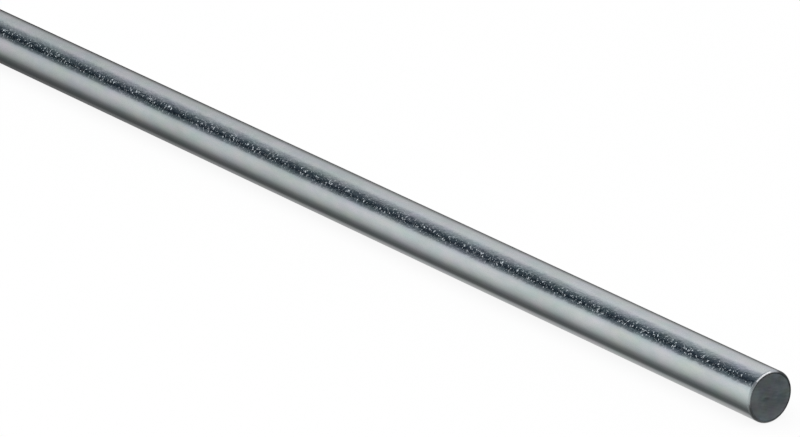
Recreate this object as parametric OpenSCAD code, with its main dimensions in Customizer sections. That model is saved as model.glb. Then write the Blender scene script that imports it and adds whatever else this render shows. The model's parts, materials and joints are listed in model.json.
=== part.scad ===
// Axle rod: one straight length of zinc-plated round steel bar, cut square at both ends,
// with the rim of each cut bevelled so that a wheel, bush or collar starts over it easily.
// The bar lies along Y, the line that a wheel on it turns about, with its middle at the origin.

/* [Bar] */
// Diameter of the bar
bar_d = 12.7; // [4:0.1:30]
// Length of the bar, from end face to end face
bar_l = 914.4; // [60:0.1:2000]

/* [Cut ends] */
// How far the bevel runs back along the bar from each end face
bevel_l = 0.4; // [0.1:0.05:1.5]
// How far the bevel takes in the rim of each end face
bevel_depth = 0.4; // [0.1:0.05:1.5]

/* [Hidden] */
$fn = 96;

// Bright zinc plating, a pale blue-grey
zinc_colour = [0.72, 0.75, 0.76];

bar_r = bar_d / 2;
face_r = bar_r - bevel_depth;
face_at = bar_l / 2;
bevel_at = face_at - bevel_l;

// Half of the bar's lengthwise section: the axis is its straight left-hand side
module half_section() {
    polygon([
        [0, -face_at],
        [face_r, -face_at],
        [bar_r, -bevel_at],
        [bar_r, bevel_at],
        [face_r, face_at],
        [0, face_at],
    ]);
}

// The whole bar, turned about its axis and laid along Y
module axle_rod() {
    color(zinc_colour)
        rotate([-90, 0, 0])
            rotate_extrude()
                half_section();
}

axle_rod();
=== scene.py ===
# Axle rod: a straight length of zinc-plated round steel bar, sawn square and bevelled at both ends.
# The bar lies along Y with its middle at the origin. The camera stands on its -X side and sees the -Y end.
import json
import math

import bpy
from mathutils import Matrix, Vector, noise


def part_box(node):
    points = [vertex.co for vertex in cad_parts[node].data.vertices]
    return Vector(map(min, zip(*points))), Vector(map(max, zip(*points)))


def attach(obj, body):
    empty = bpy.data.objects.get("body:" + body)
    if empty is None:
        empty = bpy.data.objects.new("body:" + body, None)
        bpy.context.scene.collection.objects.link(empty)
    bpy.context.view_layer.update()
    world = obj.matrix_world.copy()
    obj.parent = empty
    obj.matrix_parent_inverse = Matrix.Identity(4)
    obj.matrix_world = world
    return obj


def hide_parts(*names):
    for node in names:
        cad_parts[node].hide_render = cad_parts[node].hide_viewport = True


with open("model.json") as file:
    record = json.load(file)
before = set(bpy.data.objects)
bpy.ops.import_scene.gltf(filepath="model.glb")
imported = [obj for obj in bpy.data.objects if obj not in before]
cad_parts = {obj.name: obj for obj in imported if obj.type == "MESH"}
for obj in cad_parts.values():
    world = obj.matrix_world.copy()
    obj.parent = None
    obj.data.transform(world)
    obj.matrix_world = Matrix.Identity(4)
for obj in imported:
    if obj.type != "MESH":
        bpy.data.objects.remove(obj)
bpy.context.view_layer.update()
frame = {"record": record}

# Sizes of the bar, in metres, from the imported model. The bevel takes in the rim by as much as it runs back
NODE = "axle_rod"
mounts = {mount["name"]: mount for mount in frame["record"]["mounts"]}
shank = mounts["shank"]["dims"]
bar_r = shank["r_mm"] / 1000
face_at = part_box(NODE)[1].y
bevel_at = shank["length_mm"] / 2000
bevel = face_at - bevel_at
face_r = bar_r - bevel

# Fineness of the mesh
SEGMENTS = 144
SHANK_RINGS = 200
FACE_RINGS = 28
CORNER_STEPS = 4

# Small forms of the real surface, in metres
EDGE_ROUND = 0.00012
WAVE_DEPTH = 0.000012
WAVE_LENGTH = 0.014
SAW_MARK_PITCH = 0.00085
SAW_MARK_DEPTH = 0.000012
SAW_RADIUS = 0.11
PIP_AT = Vector((-0.0014, 0, -0.0002))
PIP_LENGTH = 0.0009
PIP_HEIGHT = 0.0005
PIP_DEPTH = 0.00012

# Places of the materials on the mesh
PLATING = 0
RIM = 1
CUT = 2

# Layout of the bake map: the shank in strips, with the two ends in a column beside them
STRIPS = 5
MAP_GAP = 0.004
END_WIDTH = 0.116

flat_r = face_r - EDGE_ROUND
shank_end = bevel_at - EDGE_ROUND
turns = [2 * math.pi * segment / SEGMENTS for segment in range(SEGMENTS)]


def put(name, data):
    """A new object in the scene."""
    made = bpy.data.objects.new(name, data)
    bpy.context.scene.collection.objects.link(made)
    return made


def rounded(before, corner, after):
    """Points of a small curve that takes the place of a corner in the profile."""
    start = corner + (before - corner).normalized() * EDGE_ROUND
    end = corner + (after - corner).normalized() * EDGE_ROUND
    points = []
    for step in range(CORNER_STEPS + 1):
        t = step / CORNER_STEPS
        points.append(start.lerp(corner, t).lerp(corner.lerp(end, t), t))
    return points


def rim_profile():
    """(radius, distance from the middle) from the flat of an end face, over its bevel, to the shank."""
    on_face = Vector((0, face_at))
    face_rim = Vector((face_r, face_at))
    shank_rim = Vector((bar_r, bevel_at))
    on_shank = Vector((bar_r, 0))
    return rounded(on_face, face_rim, shank_rim) + rounded(face_rim, shank_rim, on_shank)


def face_relief(x, z):
    """How far the cut face lies below its plane: saw marks in wide arcs, and the pip where the cut broke."""
    across = math.hypot(x, z - SAW_RADIUS)
    marks = SAW_MARK_DEPTH * (0.5 + 0.5 * math.sin(2 * math.pi * across / SAW_MARK_PITCH))
    out = math.hypot((x - PIP_AT.x) / PIP_LENGTH, (z - PIP_AT.z) / PIP_HEIGHT)
    return marks + PIP_DEPTH * math.exp(-out * out)


def face_ring(radius, end):
    """A ring of points on the cut face at end -1 or +1."""
    points = []
    for turn in turns:
        x = radius * math.cos(turn)
        z = radius * math.sin(turn)
        points.append((x, end * (face_at - face_relief(x, z)), z))
    return points


def rim_ring(radius, along):
    """A plain ring of points."""
    return [(radius * math.cos(turn), along, radius * math.sin(turn)) for turn in turns]


def shank_ring(along):
    """A ring of points on the shank, with the faint waves that drawing and straightening leave."""
    points = []
    for turn in turns:
        spot = Vector((bar_r * math.cos(turn), along, bar_r * math.sin(turn)))
        dip = WAVE_DEPTH * (0.5 + 0.5 * noise.noise(spot / WAVE_LENGTH))
        radius = bar_r - dip
        points.append((radius * math.cos(turn), along, radius * math.sin(turn)))
    return points


def end_rings(end):
    """Rings from near the middle of an end face out to the start of the shank."""
    rings = [face_ring(flat_r * step / FACE_RINGS, end) for step in range(1, FACE_RINGS + 1)]
    rings += [rim_ring(point.x, end * point.y) for point in rim_profile()[1:]]
    return rings


def all_rings():
    """Rings from the shown end to the other end."""
    along = [shank_end * (2 * step / SHANK_RINGS - 1) for step in range(1, SHANK_RINGS)]
    return end_rings(-1) + [shank_ring(place) for place in along] + end_rings(1)[::-1]


def skin(rings):
    """Points and faces of a closed skin over the rings, with a fan over each end."""
    middle_at = face_at - face_relief(0, 0)
    points = [point for ring in rings for point in ring]
    shown_middle = len(points)
    other_middle = shown_middle + 1
    points += [(0, -middle_at, 0), (0, middle_at, 0)]
    last = (len(rings) - 1) * SEGMENTS
    faces = []
    for segment in range(SEGMENTS):
        after = (segment + 1) % SEGMENTS
        for start in range(0, last, SEGMENTS):
            beyond = start + SEGMENTS
            faces.append((start + segment, beyond + segment, beyond + after, start + after))
        faces.append((shown_middle, segment, after))
        faces.append((other_middle, last + after, last + segment))
    return points, faces


def material_place(middle):
    """Which material a face of the mesh has, from its middle."""
    if abs(middle.y) < shank_end:
        return PLATING
    if math.hypot(middle.x, middle.z) > flat_r:
        return RIM
    return CUT


def end_place(point, end):
    """Place in the bake map of a point of end -1 or +1: on a disc, low or high in the ends' column."""
    half = END_WIDTH / 2
    u = 1 - MAP_GAP - half + half * point.x / bar_r
    v = (2 + end) / 4 + half * point.z / bar_r
    return u, v


def strip_place(point, middle):
    """Place in the bake map of a corner of a shank face, in the strip that holds the face's middle."""
    run = (point.y / shank_end + 1) / 2 * STRIPS
    strip = math.floor((middle.y / shank_end + 1) / 2 * STRIPS)
    turn = math.atan2(middle.z, middle.x) % (2 * math.pi)
    ahead = math.remainder(math.atan2(point.z, point.x) - turn, 2 * math.pi)
    width = 1 - END_WIDTH - 3 * MAP_GAP
    height = 1 / STRIPS - MAP_GAP
    u = MAP_GAP + width * (run - strip)
    v = MAP_GAP / 2 + strip / STRIPS + height * (turn + ahead) / (2 * math.pi)
    return u, v


def bake_place(point, middle):
    """Place in the bake map of a corner of a face, from the corner's point and the face's middle."""
    if abs(middle.y) > shank_end:
        return end_place(point, math.copysign(1, middle.y))
    return strip_place(point, middle)


def build_rod():
    """The bar as one closed mesh, with its three finishes and its bake map."""
    points, faces = skin(all_rings())
    mesh = bpy.data.meshes.new("axle_rod_finish")
    mesh.from_pydata(points, [], faces)
    bake_map = mesh.uv_layers.new(name="OFBake")
    for face in mesh.polygons:
        face.use_smooth = True
        face.material_index = material_place(face.center)
        for loop in face.loop_indices:
            corner = mesh.vertices[mesh.loops[loop].vertex_index].co
            bake_map.data[loop].uv = bake_place(corner, face.center)
    finishes = {PLATING: zinc_plating(), RIM: cut_rim(), CUT: cut_steel()}
    for place in sorted(finishes):
        mesh.materials.append(finishes[place])
    return put("axle_rod_finish", mesh)


def set_inputs(tree, node, inputs):
    """Set inputs of a node to values, or join them to other nodes' outputs."""
    for name, value in inputs.items():
        if isinstance(value, bpy.types.NodeSocket):
            tree.links.new(value, node.inputs[name])
        else:
            node.inputs[name].default_value = value


def add(tree, kind, inputs=None, **settings):
    """A new node with these inputs and settings."""
    made = tree.nodes.new(kind)
    for name, value in settings.items():
        setattr(made, name, value)
    set_inputs(tree, made, inputs or {})
    return made


def new_material(name):
    """A material with a Principled shader, and the object's own coordinates in metres."""
    material = bpy.data.materials.new(name)
    material.use_nodes = True
    tree = material.node_tree
    shader = tree.nodes["Principled BSDF"]
    place = add(tree, "ShaderNodeTexCoord").outputs["Object"]
    return material, tree, shader, place


def calc(tree, operation, *values):
    """The result of a sum with one or two values."""
    return add(tree, "ShaderNodeMath", dict(enumerate(values)), operation=operation).outputs["Value"]


def total(tree, values):
    """The sum of several values."""
    result = values[0]
    for value in values[1:]:
        result = calc(tree, "ADD", result, value)
    return result


def vector_calc(tree, operation, *vectors):
    """The outputs of a sum with one or two vectors."""
    return add(tree, "ShaderNodeVectorMath", dict(enumerate(vectors)), operation=operation).outputs


def between(tree, value, from_range, to_range):
    """A value carried smoothly from one range to another, and held at its ends."""
    inputs = {
        "Value": value,
        "From Min": from_range[0],
        "From Max": from_range[1],
        "To Min": to_range[0],
        "To Max": to_range[1],
    }
    return add(tree, "ShaderNodeMapRange", inputs, interpolation_type="SMOOTHSTEP").outputs["Result"]


def stretched(tree, place, scale=(1, 1, 1), tilt=0.0):
    """Coordinates turned about Y, in which a pattern is longer by the scale along each axis."""
    inputs = {"Vector": place, "Rotation": (0, tilt, 0), "Scale": scale}
    return add(tree, "ShaderNodeMapping", inputs, vector_type="TEXTURE").outputs["Vector"]


def speckle(tree, place, size, detail=2.0, rough=0.5):
    """Noise with patches of about this size."""
    inputs = {"Vector": place, "Scale": 1 / size, "Detail": detail, "Roughness": rough}
    return add(tree, "ShaderNodeTexNoise", inputs).outputs["Fac"]


def ramp(tree, factor, stops):
    """A colour ramp from (position, colour) pairs."""
    made = add(tree, "ShaderNodeValToRGB", {"Fac": factor})
    elements = made.color_ramp.elements
    while len(elements) < len(stops):
        elements.new(1)
    for element, (position, colour) in zip(elements, stops):
        element.position = position
        element.color = (*colour, 1)
    return made.outputs["Color"]


# Numbers of the sockets for colours on a mix node, whose sockets for other values have the same names
MIX_FACTOR = 0
MIX_FIRST = 6
MIX_SECOND = 7
MIX_RESULT = 2


def mixed(tree, factor, first, second):
    """A mix of two colours."""
    inputs = {MIX_FACTOR: factor, MIX_FIRST: first, MIX_SECOND: second}
    return add(tree, "ShaderNodeMix", inputs, data_type="RGBA").outputs[MIX_RESULT]


def bump(tree, height, depth):
    """Normals of a surface with this height, where 1 stands for the depth."""
    return add(tree, "ShaderNodeBump", {"Height": height, "Distance": depth}).outputs["Normal"]


def height_share(tree, place, radius):
    """Height of a spot over the bar's axis, as a share of a radius."""
    height = add(tree, "ShaderNodeSeparateXYZ", {"Vector": place}).outputs["Z"]
    return calc(tree, "DIVIDE", height, radius)


def from_axis(tree, place):
    """Distance of a spot from the bar's axis."""
    flat = vector_calc(tree, "MULTIPLY", place, (1, 0, 1))["Vector"]
    return vector_calc(tree, "LENGTH", flat)["Value"]


def facing(tree, place, degrees):
    """1 where the rim faces this way round the bar, falling to -1 opposite."""
    way = math.radians(degrees)
    ray = (-math.cos(way) / bar_r, 0, math.sin(way) / bar_r)
    return vector_calc(tree, "DOT_PRODUCT", place, ray)["Value"]


# Noise lies around its middle, and nearly all of it in this range
NOISE_MIDDLE = 0.5
NOISE_RANGE = (0.3, 0.7)

# Looks of the plating: its greys, with the noise at which each is full
GREEN_ZINC = (0.445, 0.490, 0.492)
GREEN_AT = 0.38
VIOLET_ZINC = (0.525, 0.550, 0.572)
VIOLET_AT = 0.62
CLOUD_SIZE = 0.012
CLOUD_STRETCH = 2.5
PLATING_ROUGHNESS = (0.11, 0.15)
# A film of other hues on the metal
FILM_SIZE = 0.003
FILM_SHARE = 0.09
CUT_FILM_SHARE = 0.12
# Pale matte grains, partly the plating's grain and partly painted glints
GRAIN_AND_GLINT_GREY = (0.70, 0.77, 0.82, 1)
GRAIN_SIZE = 0.00063
CLUMP_SIZE = 0.005
CLUMPING = 0.14
GRAIN_CONTRAST = 46
TYPICAL_GRAIN = 0.0025
MOST_GRAIN = 0.95
# Relief of coarser grains, and of the lines that drawing left along the bar
RELIEF_SIZE = 3 * GRAIN_SIZE
RELIEF_STRETCH = 1.5
RELIEF_DEPTH = 0.00012
LINE_SIZE = 0.0012
LINE_STRETCH = 6
LINE_SHARE = 0.02
# Heights, in shares of the bar's radius, over which grains and their painted glints set in, and over which
# they thin out towards the top
GRAINS_SET_IN = (0.40, 0.75)
MATTE_THINNING = (0.74, 0.90)
RELIEF_RUBBED = (0.88, 0.98)
LEFT_ON_TOP = 0.12


def film(tree, place):
    """Patches of other hues."""
    return add(tree, "ShaderNodeTexNoise", {"Vector": place, "Scale": 1 / FILM_SIZE}).outputs["Color"]


def zinc_colour(tree, place):
    """Faint clouds of greenish and violet grey under a film of other hues, and the clouds themselves."""
    drawn = stretched(tree, place, (1, CLOUD_STRETCH, 1))
    clouds = speckle(tree, drawn, CLOUD_SIZE, detail=5, rough=0.8)
    grey = ramp(tree, clouds, [(GREEN_AT, GREEN_ZINC), (VIOLET_AT, VIOLET_ZINC)])
    return mixed(tree, FILM_SHARE, grey, film(tree, drawn)), clouds


def shoulders(tree, place, top_stretch):
    """1 on the bar's shoulders and less along the top: where the grains, their painted glints and the coarse
    relief lie.
    """
    height = height_share(tree, place, bar_r)
    above = between(tree, height, GRAINS_SET_IN, (0, 1))
    below = between(tree, height, top_stretch, (1, LEFT_ON_TOP))
    return calc(tree, "MULTIPLY", above, below)


def grains_and_painted_glints(tree, place):
    """How matte each spot of plating is: mostly a mirror, with loose clumps of pale grains on the shoulders,
    partly the plating's grain and partly painted glints.
    """
    fine = speckle(tree, place, GRAIN_SIZE, detail=3, rough=0.75)
    clumps = calc(tree, "MULTIPLY", speckle(tree, place, CLUMP_SIZE), CLUMPING)
    from_middle = total(tree, [fine, clumps, -NOISE_MIDDLE * (1 + CLUMPING)])
    growth = calc(tree, "EXPONENT", calc(tree, "MULTIPLY", from_middle, GRAIN_CONTRAST))
    grains = calc(tree, "MINIMUM", calc(tree, "MULTIPLY", growth, TYPICAL_GRAIN), MOST_GRAIN)
    return calc(tree, "MULTIPLY", grains, shoulders(tree, place, MATTE_THINNING))


def plating_relief(tree, place):
    """Coarse grains on the shoulders, and the faint lines that drawing left along the bar."""
    along = stretched(tree, place, (1, RELIEF_STRETCH, 1))
    coarse = calc(tree, "SUBTRACT", speckle(tree, along, RELIEF_SIZE, detail=3, rough=0.65), NOISE_MIDDLE)
    grains = calc(tree, "MULTIPLY", coarse, shoulders(tree, place, RELIEF_RUBBED))
    lines = speckle(tree, stretched(tree, place, (1, LINE_STRETCH, 1)), LINE_SIZE)
    return calc(tree, "ADD", grains, calc(tree, "MULTIPLY", lines, LINE_SHARE))


def zinc_plating():
    """Bright zinc over drawn steel."""
    material, tree, shader, place = new_material("zinc_plating")
    colour, clouds = zinc_colour(tree, place)
    # Pale matte grains, partly painted glints, held to the shoulders
    matte = grains_and_painted_glints(tree, place)
    set_inputs(tree, shader, {
        "Base Color": mixed(tree, matte, colour, GRAIN_AND_GLINT_GREY),
        "Metallic": calc(tree, "SUBTRACT", 1.0, matte),
        "Roughness": between(tree, clouds, NOISE_RANGE, PLATING_ROUGHNESS),
        "Normal": bump(tree, plating_relief(tree, place), RELIEF_DEPTH),
    })
    return material


# Looks of the rim: a painted highlight on the stretch near the top, painted shade on the stretch below the
# camera's side, and deeper painted shade on the far side
PAINTED_HIGHLIGHT_GREY = (0.95, 0.96, 0.98, 1)
HIGHLIGHT_METALLIC = 0.35
PAINTED_SHADE_GREY = (0.15, 0.158, 0.16, 1)
DEEP_PAINTED_SHADE_GREY = (0.10, 0.107, 0.11, 1)
RIM_ROUGHNESS = (0.38, 0.48)
# Which way each stretch of the rim faces, in degrees round the bar, with 0 on the camera's side and 90 at the
# top. It sets in where the rim faces that way by the first share of its reach, and is full at the second
# The painted highlight near the top
HIGHLIGHT_TURN = 71
HIGHLIGHT_REACH = (0.86, 0.93)
# The painted shade below, on the camera's side
SHADE_TURN = -47
SHADE_REACH = (0.62, 0.80)
# The deeper painted shade on the far side
DEEP_SHADE_TURN = 190
DEEP_SHADE_REACH = (0.0, 0.3)
RAGGED_SIZE = 0.0005
RAGGED_BY = (-0.02, 0.02)
# Places across the bevel, from the edge of the face at 0 to the shank at 1, over which the painted highlight
# rises and falls and the painted shade fades
HIGHLIGHT_RISE = (-0.1, 0.2)
HIGHLIGHT_FALL = (0.4, 0.8)
SHADE_FALL = (0.3, 0.9)
SHADE_SHARES = (1, 0.3)


def across_bevel(tree, place):
    """How far across the bevel a spot is, from the edge of the face at 0 to the shank at 1."""
    return calc(tree, "DIVIDE", calc(tree, "SUBTRACT", from_axis(tree, place), face_r), bevel)


def rim_stretch(tree, place, turn, reach, most):
    """How fully a spot belongs to a stretch of the rim, which starts and ends raggedly."""
    ragged = between(tree, speckle(tree, place, RAGGED_SIZE), NOISE_RANGE, RAGGED_BY)
    towards = calc(tree, "ADD", facing(tree, place, turn), ragged)
    return between(tree, towards, reach, (0, most))


def cut_rim():
    """The bevel: plated, with a painted highlight on the stretch near the top, painted shade on the stretch
    below the camera's side, and deeper painted shade on the far side.
    """
    material, tree, shader, place = new_material("cut_rim")
    colour, clouds = zinc_colour(tree, place)
    across = across_bevel(tree, place)
    rise = between(tree, across, HIGHLIGHT_RISE, (0, 1))
    ridge = calc(tree, "MULTIPLY", rise, between(tree, across, HIGHLIGHT_FALL, (1, 0)))
    shade_share = between(tree, across, SHADE_FALL, SHADE_SHARES)
    shade = rim_stretch(tree, place, SHADE_TURN, SHADE_REACH, shade_share)
    deep_shade = rim_stretch(tree, place, DEEP_SHADE_TURN, DEEP_SHADE_REACH, 1)
    top_stretch = rim_stretch(tree, place, HIGHLIGHT_TURN, HIGHLIGHT_REACH, ridge)
    # Painted shade below on the camera's side and on the far side, and over them the painted highlight near
    # the top
    for share, finish in [(shade, PAINTED_SHADE_GREY), (deep_shade, DEEP_PAINTED_SHADE_GREY), (top_stretch, PAINTED_HIGHLIGHT_GREY)]:
        colour = mixed(tree, share, colour, finish)
    set_inputs(tree, shader, {
        "Base Color": colour,
        "Metallic": between(tree, top_stretch, (0, 1), (1, HIGHLIGHT_METALLIC)),
        "Roughness": between(tree, clouds, NOISE_RANGE, RIM_ROUGHNESS),
    })
    return material


# Looks of the cut face: its greys at a tone of 0 and 1, and how rough it is over a range of tones
DARK_CUT = (0.04, 0.048, 0.056)
PALE_CUT = (0.338, 0.400, 0.420)
ROUGHNESS_TONES = (0.2, 0.7)
CUT_ROUGHNESS = (0.60, 0.45)
# Smudges and fine grit
SMUDGE_SIZE = 0.0035
SMUDGE_TILT = math.radians(40)
SMUDGE_TONES = (0.43, 0.69)
GRIT_SIZE = 0.00035
GRIT_TONES = (-0.025, 0.025)
# Streaks along the saw's way
STREAK_LENGTH = 0.006
STREAK_WIDTH = 0.0005
STREAK_TILT = math.radians(20)
STREAK_TONES = (-0.06, 0.06)
STREAK_DEPTH = 0.00001
# The dark pip, over distances in shares of its size, and the paler foot, over heights in shares of the face's
# radius
PIP_REACH = (0.3, 1.5)
PIP_TONES = (-0.24, 0)
FOOT_HEIGHTS = (-0.95, -0.4)
FOOT_TONES = (0.28, 0)
# The painted shade along the face's edge, over shares of the face's radius. It is patchy, and darkest on the
# far side, on a stretch with a turn and a reach like those of the rim
EDGE_RING = (0.925, 0.955)
PATCH_SIZE = 0.003
PATCH_NOISE = (0.35, 0.6)
PATCH_TONES = (-0.40, -0.62)
EDGE_SHADE_TURN = 160
EDGE_SHADE_REACH = (-0.8, 0.3)
EDGE_SHADE_SHARES = (0.4, 1.2)


def saw_streaks(tree, place):
    """Noise in short streaks across the cut face."""
    along = stretched(tree, place, (STREAK_LENGTH, 1, STREAK_WIDTH), STREAK_TILT)
    return speckle(tree, along, 1, rough=0.6)


def from_pip(tree, place):
    """Distance of a spot on the cut face from the pip, in shares of the pip's size."""
    away = vector_calc(tree, "SUBTRACT", place, PIP_AT)["Vector"]
    shares = vector_calc(tree, "MULTIPLY", away, (1 / PIP_LENGTH, 0, 1 / PIP_HEIGHT))["Vector"]
    return vector_calc(tree, "LENGTH", shares)["Value"]


def painted_edge_shade(tree, place, turned):
    """Painted shade along the edge of the cut face: how much darker the face is there."""
    patches = between(tree, speckle(tree, turned, PATCH_SIZE), PATCH_NOISE, PATCH_TONES)
    # The painted shade is strongest where the edge faces the far side
    shade_by_side = between(tree, facing(tree, place, EDGE_SHADE_TURN), EDGE_SHADE_REACH, EDGE_SHADE_SHARES)
    out = calc(tree, "DIVIDE", from_axis(tree, place), face_r)
    return between(tree, out, EDGE_RING, (0, calc(tree, "MULTIPLY", shade_by_side, patches)))


def cut_tone(tree, place, streaks):
    """Tone of the cut face: smudges, grit, saw streaks, the dark pip, a paler foot and painted shade along
    the edge.
    """
    turned = stretched(tree, place, tilt=SMUDGE_TILT)
    return total(tree, [
        between(tree, speckle(tree, turned, SMUDGE_SIZE), NOISE_RANGE, SMUDGE_TONES),
        between(tree, speckle(tree, turned, GRIT_SIZE), NOISE_RANGE, GRIT_TONES),
        between(tree, streaks, NOISE_RANGE, STREAK_TONES),
        between(tree, from_pip(tree, place), PIP_REACH, PIP_TONES),
        between(tree, height_share(tree, place, face_r), FOOT_HEIGHTS, FOOT_TONES),
        painted_edge_shade(tree, place, turned),
    ])


def cut_steel():
    """Bare sawn steel: dark, dull, and smudged."""
    material, tree, shader, place = new_material("cut_steel")
    streaks = saw_streaks(tree, place)
    tone = cut_tone(tree, place, streaks)
    grey = ramp(tree, tone, [(0, DARK_CUT), (1, PALE_CUT)])
    set_inputs(tree, shader, {
        "Base Color": mixed(tree, CUT_FILM_SHARE, grey, film(tree, place)),
        "Metallic": 1.0,
        "Roughness": between(tree, tone, ROUGHNESS_TONES, CUT_ROUGHNESS),
        "Normal": bump(tree, streaks, STREAK_DEPTH),
    })
    return material


# What the bar mirrors, as colours of light by degrees round it, with the camera's side at 0, straight up at
# 90, the far side at 180 and straight down at -90. First the pale floor, with a dark near edge
MIRRORED_FLOOR = [
    (-166, (0.14, 0.14, 0.14)),
    (-150, (0.57, 0.57, 0.57)),
    (-100, (0.475, 0.475, 0.475)),
    (-86, (0.145, 0.15, 0.15)),
    (-70, (0.13, 0.137, 0.137)),
]
# A white wall on the camera's side, brightest a little above level
MIRRORED_WALL = [
    (-53, (0.27, 0.275, 0.275)),
    (-37, (0.57, 0.58, 0.57)),
    (-21, (0.80, 0.81, 0.80)),
    (-6, (0.94, 0.955, 0.94)),
    (10, (1.00, 1.01, 1.00)),
    (20, (0.88, 0.915, 0.935)),
    (26, (0.74, 0.78, 0.81)),
    (31, (0.305, 0.33, 0.355)),
]
# A dark gap over the wall
MIRRORED_GAP = [
    (36, (0.18, 0.212, 0.235)),
    (45, (0.08, 0.108, 0.13)),
    (50, (0.0, 0.004, 0.012)),
    (57, (0.03, 0.046, 0.064)),
    (65, (0.075, 0.10, 0.123)),
    (75, (0.105, 0.128, 0.149)),
]
# A softbox over and behind the bar, with the glow at its near edge
MIRRORED_SOFTBOX = [
    (80, (0.29, 0.32, 0.35)),
    (85, (0.385, 0.415, 0.447)),
    (97, (0.51, 0.53, 0.57)),
    (106, (0.83, 0.84, 0.87)),
    (112, (0.915, 0.915, 0.935)),
    (148, (0.76, 0.755, 0.77)),
    (160, (0.62, 0.62, 0.63)),
    (171, (0.32, 0.32, 0.32)),
]
MIRRORED = MIRRORED_FLOOR + MIRRORED_WALL + MIRRORED_GAP + MIRRORED_SOFTBOX
# The bands fade towards the way the bar points, where walls and softbox end: how far a ray leans that way,
# and the strength of the light there
FADE_LEAN = (0.70, 0.84)
FADE_STRENGTH = (1.12, 0.705)
# The walls and softbox aren't quite in line with the bar, so the bands turn a little on the way
TURN_LEAN = (0.715, 0.765)
TURN_BY = (math.radians(4), math.radians(-1.5))
# The pale floor under the bar, up to its soft edge in degrees, fades sooner
FLOOR_EDGE = (-100, -72)
FLOOR_FADE_LEAN = (0.745, 0.80)
FLOOR_FADE_STRENGTH = (1.0, 0.2)
# The plain light on matte surfaces
FILL = 0.5
WHITE = (1, 1, 1, 1)


def turn_share(degrees):
    """Degrees round the bar as a share of a whole turn, from 0 at -180 to 1 at 180."""
    return (degrees + 180) / 360


def light(tree, colour, strength=1.0):
    """Light of the world with this colour."""
    return add(tree, "ShaderNodeBackground", {"Color": colour, "Strength": strength}).outputs["Background"]


def either(tree, factor, first, second):
    """The second shader where the factor is 1, and else the first."""
    return add(tree, "ShaderNodeMixShader", {0: factor, 1: first, 2: second}).outputs["Shader"]


def mirrored_bands(tree):
    """Light in bands round the bar, which fades towards its two ends."""
    direction = add(tree, "ShaderNodeTexCoord").outputs["Generated"]
    parts = add(tree, "ShaderNodeSeparateXYZ", {"Vector": direction}).outputs
    lean = calc(tree, "ABSOLUTE", parts["Y"])
    towards = calc(tree, "MULTIPLY", parts["X"], -1.0)
    askew = between(tree, lean, TURN_LEAN, TURN_BY)
    angle = calc(tree, "SUBTRACT", calc(tree, "ARCTAN2", parts["Z"], towards), askew)
    turn = calc(tree, "ADD", calc(tree, "DIVIDE", angle, 2 * math.pi), 0.5)
    bands = ramp(tree, turn, [(turn_share(degrees), colour) for degrees, colour in MIRRORED])
    strength = between(tree, lean, FADE_LEAN, FADE_STRENGTH)
    floor_strength = between(tree, lean, FLOOR_FADE_LEAN, FLOOR_FADE_STRENGTH)
    floor_edge = [turn_share(degrees) for degrees in FLOOR_EDGE]
    floor_share = between(tree, turn, floor_edge, (floor_strength, 1.0))
    return light(tree, bands, calc(tree, "MULTIPLY", strength, floor_share))


def build_world():
    """A white studio to the camera, its light and dark bands to the mirror finish, and a plain fill."""
    world = bpy.data.worlds.new("studio")
    bpy.context.scene.world = world
    world.use_nodes = True
    tree = world.node_tree
    rays = add(tree, "ShaderNodeLightPath").outputs
    lit = either(tree, rays["Is Glossy Ray"], light(tree, WHITE, FILL), mirrored_bands(tree))
    straight = calc(tree, "MAXIMUM", rays["Is Camera Ray"], rays["Is Transmission Ray"])
    seen = either(tree, straight, lit, light(tree, WHITE))
    tree.links.new(seen, tree.nodes["World Output"].inputs["Surface"])


# The floor: half its width, its colour, and how much of it shows as plain white to the camera
FLOOR_HALF = 60
FLOOR_GREY = (0.9, 0.9, 0.9, 1)
FLOOR_WHITE_SHARE = 0.90


def floor_material():
    """Pale, and nearly white to the camera, so that only a soft shadow stays."""
    material = bpy.data.materials.new("floor")
    material.use_nodes = True
    tree = material.node_tree
    tree.nodes.remove(tree.nodes["Principled BSDF"])
    rays = add(tree, "ShaderNodeLightPath").outputs
    pale = add(tree, "ShaderNodeBsdfDiffuse", {"Color": FLOOR_GREY}).outputs["BSDF"]
    white = add(tree, "ShaderNodeEmission").outputs["Emission"]
    share = calc(tree, "MULTIPLY", rays["Is Camera Ray"], FLOOR_WHITE_SHARE)
    tree.links.new(either(tree, share, pale, white), tree.nodes["Material Output"].inputs["Surface"])
    return material


def build_floor():
    """The floor that the bar lies on, which the bar mirrors as a band of the world instead."""
    half = FLOOR_HALF
    corners = [(-half, -half), (half, -half), (half, half), (-half, half)]
    mesh = bpy.data.meshes.new("floor")
    mesh.from_pydata([(x, y, -bar_r) for x, y in corners], [], [(0, 1, 2, 3)])
    mesh.materials.append(floor_material())
    floor = put("floor", mesh)
    floor.visible_glossy = False


# The softbox: its turn is up from level on the camera's side
SOFTBOX_WIDTH = 3
SOFTBOX_LENGTH = 4
SOFTBOX_AWAY = 2.4
SOFTBOX_TURN = math.radians(80)
SOFTBOX_WATTS = 60


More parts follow.
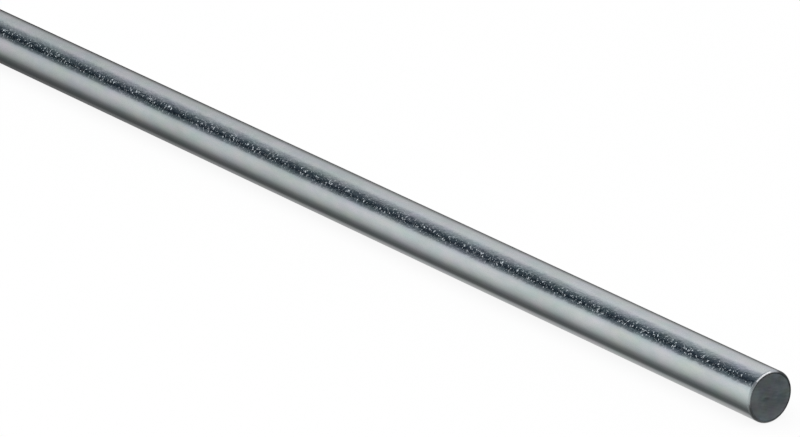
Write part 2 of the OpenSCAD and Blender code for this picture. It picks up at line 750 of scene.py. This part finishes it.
def build_softbox():
    """A wide softbox over the bar. The bar mirrors the bands of the world instead of the lamp itself."""
    lamp = bpy.data.lights.new("softbox", "AREA")
    lamp.shape = "RECTANGLE"
    lamp.size = SOFTBOX_WIDTH
    lamp.size_y = SOFTBOX_LENGTH
    lamp.energy = SOFTBOX_WATTS
    softbox = put("softbox", lamp)
    softbox.location = Vector((-math.cos(SOFTBOX_TURN), 0, math.sin(SOFTBOX_TURN))) * SOFTBOX_AWAY
    softbox.rotation_euler = (0, SOFTBOX_TURN - math.pi / 2, 0)
    softbox.visible_glossy = False
    softbox.visible_camera = False


# The photograph's view: the lens in pixels, the camera's turn and tilt, and where the middle of the shown
# end lies in the picture and how far away it is
IMAGE_WIDTH = 800
IMAGE_HEIGHT = 437
SENSOR = 36
FOCAL_PIXELS = 7444
CAMERA_AZIMUTH = math.radians(-36.6)
CAMERA_ELEVATION = math.radians(20.33)
SHOWN_END_PIXEL = (770.5, 397.1)
SHOWN_END_DEPTH = 1.6917
NEAREST_SEEN = 0.05
FARTHEST_SEEN = 200


def build_camera():
    """The camera, placed so that the middle of the shown end falls on its pixel."""
    lens = bpy.data.cameras.new("camera")
    lens.sensor_width = SENSOR
    lens.lens = FOCAL_PIXELS / IMAGE_WIDTH * SENSOR
    lens.clip_start = NEAREST_SEEN
    lens.clip_end = FARTHEST_SEEN
    camera = put("camera", lens)
    camera.rotation_euler = (math.pi / 2 - CAMERA_ELEVATION, 0, CAMERA_AZIMUTH)
    right = (SHOWN_END_PIXEL[0] - IMAGE_WIDTH / 2) / FOCAL_PIXELS
    down = (SHOWN_END_PIXEL[1] - IMAGE_HEIGHT / 2) / FOCAL_PIXELS
    sight = Vector((right, -down, -1)) * SHOWN_END_DEPTH
    sight.rotate(camera.rotation_euler)
    camera.location = Vector((0, -face_at, 0)) - sight
    bpy.context.scene.camera = camera


rod = build_rod()
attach(rod, "root")
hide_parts(NODE)
build_world()
build_floor()
build_softbox()
build_camera()
bpy.context.scene.view_settings.view_transform = "Standard"
